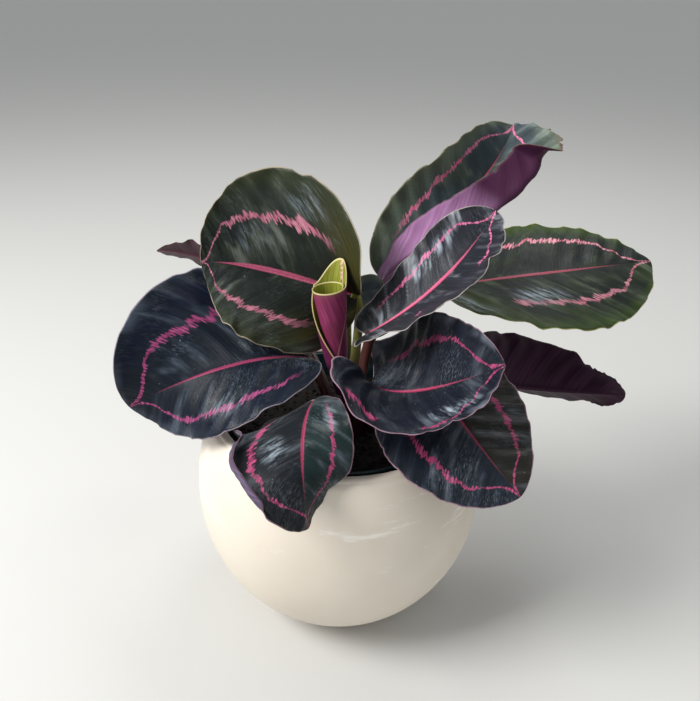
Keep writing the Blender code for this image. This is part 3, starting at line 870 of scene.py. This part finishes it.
def rolled_skin(name, deep, light, rim, outside):
    """Young leaf tissue: thin and satin, with fine lengthwise veins and a pale margin."""
    material, tree, shader = new_material(name)
    names = ("turn", "rise", "angle")
    turn, h, angle = (add(tree, "number", attribute_name=key).outputs["Fac"] for key in names)
    across = add(tree, "point", add(tree, "times", turn, 110.0), add(tree, "times", h, 3.0))
    veins = add(tree, "noise", across, 1.0)
    tone = add(tree, "blend", add(tree, "fade", veins, 0.3, 0.75), linear(deep), linear(light))
    # The blush changes about every 10 mm.
    blush = add(tree, "noise", add(tree, "ShaderNodeTexCoord").outputs["Object"], 95.0, 3.0)
    if outside:
        tone = rolled_outside(tree, tone, angle, h, blush)
    else:
        tone = rolled_inside(tree, tone, angle, h, turn, blush)
    edge = add(tree, "larger", add(tree, "fade", h, 0.989, 0.994), add(tree, "fade", turn, 0.991, 0.995))
    tone = add(tree, "blend", edge, tone, linear(rim))
    finish_shader(tree, shader, tone, 0.42, veins, 0.25, 0.3)
    return material


def rolled_piece():
    grid, h, turn, angle = rolled_grid()
    even = np.full(h.shape, BLADE_THICKNESS / 2)
    points, faces, slots, doubled = plate(grid, even, even, {"rise": h, "turn": turn, "angle": angle})
    outside = rolled_skin("young_leaf_outside", "#74264c", "#9a4069", "#b9ad78", True)
    inside = rolled_skin("young_leaf_inside", "#77781f", "#99a044", "#c4b981", False)
    return mesh_piece("rolled_new_leaf", points, faces, [outside, inside], slots, doubled)


# ---------------------------------------------------------------- pots and mix


def glazed_pot():
    """Cream ceramic with a satin hand-brushed slip: faint lighter sweeps and a soft shine."""
    material, tree, shader = new_material("cream_satin_ceramic")
    place = add(tree, "ShaderNodeTexCoord").outputs["Object"]
    # Brush sweeps are about 50 mm long and 8 mm wide, and lie at a slant.
    turned = add(tree, "ShaderNodeMapping", named={"Vector": place, "Rotation": (0.35, 0.3, 0.0),
                                                   "Scale": (20.0, 20.0, 120.0)})
    sweeps = add(tree, "noise", turned, 1.0, 6.0, 0.7)
    cloud = add(tree, "noise", place, 14.0, 3.0, 0.5)
    tone = add(tree, "blend", add(tree, "fade", cloud, 0.3, 0.7), linear("#dbd0c0"), linear("#e6dccd"))
    tone = add(tree, "blend", add(tree, "fade", sweeps, 0.58, 0.70, 0.0, 0.8), tone, linear("#f6f1e9"))
    rough = add(tree, "fade", sweeps, 0.3, 0.7, 0.38, 0.52)
    finish_shader(tree, shader, tone, rough, sweeps, 0.12, 0.5)
    return material


def moulded_plastic():
    """Injection-moulded polypropylene, dark green-black: a dull shine, and grime in patches of about 5 mm."""
    material, tree, shader = new_material("moulded_dark_plastic")
    place = add(tree, "ShaderNodeTexCoord").outputs["Object"]
    grime = add(tree, "noise", place, 180.0, 3.0, 0.6)
    tone = add(tree, "blend", add(tree, "fade", grime, 0.5, 0.75), linear("#0b2528"), linear("#1f4144"))
    finish_shader(tree, shader, tone, add(tree, "fade", grime, 0.3, 0.7, 0.24, 0.40), grime, 0.05, 0.5)
    return material


def damp_peat(name, dark, light):
    """Damp peat and bark crumbs of 2 to 3 mm: matt, nearly black."""
    material, tree, shader = new_material(name)
    place = add(tree, "ShaderNodeTexCoord").outputs["Object"]
    crumbs = add(tree, "noise", place, 420.0, 4.0, 0.7)
    tone = add(tree, "blend", add(tree, "fade", crumbs, 0.4, 0.75), linear(dark), linear(light))
    finish_shader(tree, shader, tone, 0.9, crumbs, 0.8, 0.3)
    return material


def lathe(name, profile, steps, material):
    """Turns a profile of (radius, height) about the upright axis. Both ends lie on the axis."""
    profile = np.asarray(profile, float)
    angles = np.linspace(0, 2 * np.pi, steps, endpoint=False)
    body = profile[1:-1]
    rings = np.stack([body[:, None, 0] * np.cos(angles), body[:, None, 0] * np.sin(angles),
                      np.repeat(body[:, None, 1], steps, 1)], -1)
    points = np.concatenate([rings.reshape(-1, 3), [[0, 0, profile[0, 1]], [0, 0, profile[-1, 1]]]])
    count = len(body)
    faces = []
    for i in range(count - 1):
        for k in range(steps):
            n = (k + 1) % steps
            faces.append((i * steps + k, i * steps + n, (i + 1) * steps + n, (i + 1) * steps + k))
    first, last = count * steps, count * steps + 1
    for k in range(steps):
        n = (k + 1) % steps
        faces.append((first, n, k))
        faces.append(((count - 1) * steps + k, (count - 1) * steps + n, last))
    return mesh_piece(name, points, faces, [material])


def pot_radius(height):
    semi = np.where(height < POT_EQUATOR, POT_LOWER, POT_UPPER)
    return POT_RADIUS * np.sqrt(1.0 - ((height - POT_EQUATOR) / semi) ** 2)


def round_lip(centre, radius, start, end, count=7):
    turns = np.radians(np.linspace(start, end, count))
    return [(centre[0] + radius * math.cos(t), centre[1] + radius * math.sin(t)) for t in turns]


def cover_pot(material):
    foot = float(pot_radius(0.0))
    profile = [(0, 0.6), (foot - 6, 0.6), (foot - 4, 0.0), (foot - 1.6, 0.0), (foot - 0.3, 0.5)]
    profile += [(float(pot_radius(z)), z) for z in np.linspace(1.5, POT_HEIGHT - 2.4, 46)]
    rim = float(pot_radius(POT_HEIGHT))
    profile += round_lip((rim - 2.2, POT_HEIGHT - 2.2), 2.2, 10, 90)
    profile += round_lip((rim - POT_WALL + 2.0, POT_HEIGHT - 2.0), 2.0, 95, 180)
    heights = np.linspace(POT_HEIGHT - 4, POT_FLOOR + 5, 26)
    profile += [(float(pot_radius(z)) - POT_WALL, z) for z in heights]
    profile += [(float(pot_radius(POT_FLOOR)) - POT_WALL - 4, POT_FLOOR), (0, POT_FLOOR)]
    return lathe("ceramic_cover_pot", profile, 128, material)


def nursery_pot(material):
    base = POT_FLOOR + 0.3
    under = NURSERY_TOP - 9.0
    neck = NURSERY_RIM - 2.2
    profile = [(0, base), (NURSERY_BASE - 1, base), (NURSERY_BASE, base + 1), (neck, under)]
    profile += [(NURSERY_RIM - 0.5, under + 0.6), (NURSERY_RIM, under + 2)]
    profile += [(NURSERY_RIM, NURSERY_TOP - 0.8)]
    profile += round_lip((NURSERY_RIM - 0.8, NURSERY_TOP - 0.8), 0.8, 20, 170, 6)
    profile += [(NURSERY_RIM - 1.9, under + 2.5), (neck - 1.2, under + 0.4), (neck - 1.4, under - 4)]
    profile += [(NURSERY_BASE - 1.4, base + 1.6), (0, base + 1.6)]
    return lathe("plastic_nursery_pot", profile, 96, material)


def soil_piece(material):
    """A closed bed: a rough top that rises round the crown, and a plain side and bottom."""
    rings, steps = SOIL_RINGS, SOIL_STEPS
    bottom = SOIL_HEIGHT - SOIL_DEPTH
    points, faces = [], []
    chance = random.Random(4)
    for i in range(1, rings + 1):
        r = SOIL_RADIUS * i / rings
        for k in range(steps):
            angle = 2 * math.pi * k / steps
            lift = 2.2 * math.exp(-((r / 26) ** 4)) + chance.uniform(-0.55, 0.55)
            points.append((r * math.cos(angle), r * math.sin(angle), SOIL_HEIGHT - 0.8 + lift))
    for k in range(steps):
        angle = 2 * math.pi * k / steps
        points.append((SOIL_BOTTOM_RADIUS * math.cos(angle), SOIL_BOTTOM_RADIUS * math.sin(angle), bottom))
    low, high = len(points), len(points) + 1
    points += [(0, 0, bottom), (0, 0, SOIL_HEIGHT + 1.6)]
    for i in range(rings):
        for k in range(steps):
            n = (k + 1) % steps
            faces.append((i * steps + n, i * steps + k, (i + 1) * steps + k, (i + 1) * steps + n))
    for k in range(steps):
        n = (k + 1) % steps
        faces.append((high, k, n))
        faces.append((low, rings * steps + n, rings * steps + k))
    return mesh_piece("potting_mix_bed", points, faces, [material])


def crumb_tree():
    """Scatters small lumps over the faces that look up, each turned and sized at random."""
    tree = bpy.data.node_groups.new("crumb_scatter", "GeometryNodeTree")
    tree.interface.new_socket("Bed", in_out="INPUT", socket_type="NodeSocketGeometry")
    inputs = (("Density", "Float"), ("Crumb size", "Float"), ("Seed", "Int"), ("Skin", "Material"))
    for name, kind in inputs:
        tree.interface.new_socket(name, in_out="INPUT", socket_type="NodeSocket" + kind)
    tree.interface.new_socket("Crumbs", in_out="OUTPUT", socket_type="NodeSocketGeometry")
    given = add(tree, "NodeGroupInput")
    normal = add(tree, "GeometryNodeInputNormal")
    upright = add(tree, "ShaderNodeSeparateXYZ", named={0: normal})
    height = {0: upright.outputs[2], 1: 0.5}
    facing_up = add(tree, "FunctionNodeCompare", named=height, data_type="FLOAT", operation="GREATER_THAN")
    where = {"Mesh": given.outputs["Bed"], "Selection": facing_up, "Density": given.outputs["Density"]}
    spots = add(tree, "GeometryNodeDistributePointsOnFaces", named={**where, "Seed": given.outputs["Seed"]})
    crumb_size = given.outputs["Crumb size"]
    lump = add(tree, "GeometryNodeMeshIcoSphere", named={"Radius": crumb_size, "Subdivisions": 2})
    place = add(tree, "GeometryNodeInputPosition")
    rough = add(tree, "ShaderNodeTexNoise", named={"Vector": place, "Scale": 700.0})
    push = add(tree, "ShaderNodeVectorMath", rough.outputs["Color"], (0.5, 0.5, 0.5), operation="SUBTRACT")
    sized = add(tree, "ShaderNodeVectorMath", named={0: push, "Scale": 0.0022}, operation="SCALE")
    lumpy = add(tree, "GeometryNodeSetPosition", named={"Geometry": lump, "Offset": sized})
    draw = {"Seed": given.outputs["Seed"]}
    turns = {0: (0.0, 0.0, 0.0), 1: (6.28, 6.28, 6.28), **draw}
    turn = add(tree, "FunctionNodeRandomValue", named=turns, data_type="FLOAT_VECTOR")
    sizes = {0: (0.4, 0.4, 0.3), 1: (1.5, 1.2, 0.9), **draw}
    size = add(tree, "FunctionNodeRandomValue", named=sizes, data_type="FLOAT_VECTOR")
    crumbs_at = {"Points": spots.outputs["Points"], "Instance": lumpy, "Rotation": turn, "Scale": size}
    copies = add(tree, "GeometryNodeInstanceOnPoints", named=crumbs_at)
    real = add(tree, "GeometryNodeRealizeInstances", named={"Geometry": copies})
    skin = add(tree, "GeometryNodeSetMaterial", named={"Geometry": real, "Material": given.outputs["Skin"]})
    add(tree, "NodeGroupOutput", named={0: skin})
    return tree


def crumbs(name, bed, tree, density, size, seed, skin):
    source = bpy.data.objects.new(name + "_source", bed.data)
    bpy.context.scene.collection.objects.link(source)
    modifier = source.modifiers.new("scatter", "NODES")
    modifier.node_group = tree
    for key, value in (("Density", density), ("Crumb size", size * MM), ("Seed", seed), ("Skin", skin)):
        set_input(modifier, key, value)
    return baked(source, name)


# ---------------------------------------------------------------- stage


def stage():
    """A plain pale floor in a soft, even room, with a large window light at the left and a weak one above."""
    material, tree, shader = new_material("pale_floor")
    shader.inputs["Base Color"].default_value = linear("#c9c8c4")
    shader.inputs["Roughness"].default_value = 0.8
    mesh = bpy.data.meshes.new("floor")
    corners = [(-FLOOR_HALF, -FLOOR_HALF, 0), (FLOOR_HALF, -FLOOR_HALF, 0)]
    corners += [(FLOOR_HALF, FLOOR_HALF, 0), (-FLOOR_HALF, FLOOR_HALF, 0)]
    mesh.from_pydata(corners, [], [(0, 1, 2, 3)])
    mesh.materials.append(material)
    floor = bpy.data.objects.new("floor", mesh)
    bpy.context.scene.collection.objects.link(floor)
    world = bpy.data.worlds.new("soft_room")
    world.use_nodes = True
    world.node_tree.nodes["Background"].inputs["Color"].default_value = linear("#e4e7ea")
    world.node_tree.nodes["Background"].inputs["Strength"].default_value = 0.62
    bpy.context.scene.world = world
    for name, place, size, power in LAMPS:
        lamp = bpy.data.lights.new(name, "AREA")
        lamp.size = size
        lamp.energy = power
        thing = bpy.data.objects.new(name, lamp)
        thing.location = place
        aim = Vector(LAMP_TARGET) - Vector(place)
        thing.rotation_euler = aim.to_track_quat("-Z", "Y").to_euler()
        bpy.context.scene.collection.objects.link(thing)


def camera():
    """Looks down on the plant from the front, with a slight roll."""
    pitch, roll = math.radians(CAMERA_PITCH), math.radians(CAMERA_ROLL)
    ahead = Vector((0, math.cos(pitch), -math.sin(pitch)))
    right = Vector((1, 0, 0))
    down = ahead.cross(right)
    across = right * math.cos(roll) + down * math.sin(roll)
    below = down * math.cos(roll) - right * math.sin(roll)
    lens = bpy.data.cameras.new("camera")
    lens.sensor_fit = "HORIZONTAL"
    lens.sensor_width = 36.0
    lens.lens = CAMERA_LENS
    lens.clip_start = 0.01
    lens.clip_end = 200.0
    eye = bpy.data.objects.new("camera", lens)
    axes = Matrix((across, -below, -ahead)).transposed().to_4x4()
    eye.matrix_world = Matrix.Translation(Vector(CAMERA_PLACE)) @ axes
    bpy.context.scene.collection.objects.link(eye)
    bpy.context.scene.camera = eye


def settle(piece, slot, *nodes):
    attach(piece, BODY)
    if nodes:
        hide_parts(*nodes)


def main():
    stage()
    camera()
    bpy.context.scene.view_settings.view_transform = "Standard"
    settle(cover_pot(glazed_pot()), "cream_ceramic", "cover_pot")
    settle(nursery_pot(moulded_plastic()), "dark_plastic", "nursery_pot")
    peat = damp_peat("damp_peat", "#0c0a09", "#2a211b")
    bark = damp_peat("bark_crumbs", "#1b130e", "#4b3626")
    bed = soil_piece(peat)
    scatter = crumb_tree()
    settle(crumbs("peat_crumbs", bed, scatter, 60000.0, 1.1, 3, peat), "potting_mix")
    settle(crumbs("bark_crumbs", bed, scatter, 9000.0, 1.7, 8, bark), "potting_mix")
    settle(bed, "potting_mix", "potting_mix")
    sweep = tube_tree()
    skins = {"red": stalk_skin("red_stalk_skin", "#2c0e16", "#472019"),
             "green": stalk_skin("green_stalk_skin", "#3f2418", "#7f8238")}
    for place, (name, leaf) in enumerate(LEAVES.items()):
        seed = 7 + 13 * place
        slot = "green_leaf" if leaf["look"] in ("green", "olive") else "dark_leaf"
        settle(blade_piece(name, leaf, seed), slot, name + "_leaf")
        path = stalk_path(leaf)
        radii = stalk_radii(leaf["stalk"], len(path))
        stalk = stalk_piece(name + "_leaf_stalk", path, radii, sweep, skins[leaf["stem"]])
        settle(stalk, "stalk", name + "_stalk")
    settle(rolled_piece(), "rolled_leaf", "rolled_leaf")
    path = np.linspace((1.5, 0, STALK_START - 1), (3.0, 0, 134.0), 12)
    new_stalk = stalk_piece("new_leaf_stalk", path, np.linspace(3.4, 2.6, len(path)), sweep, skins["red"])
    settle(new_stalk, "stalk", "rolled_leaf_stalk")


main()
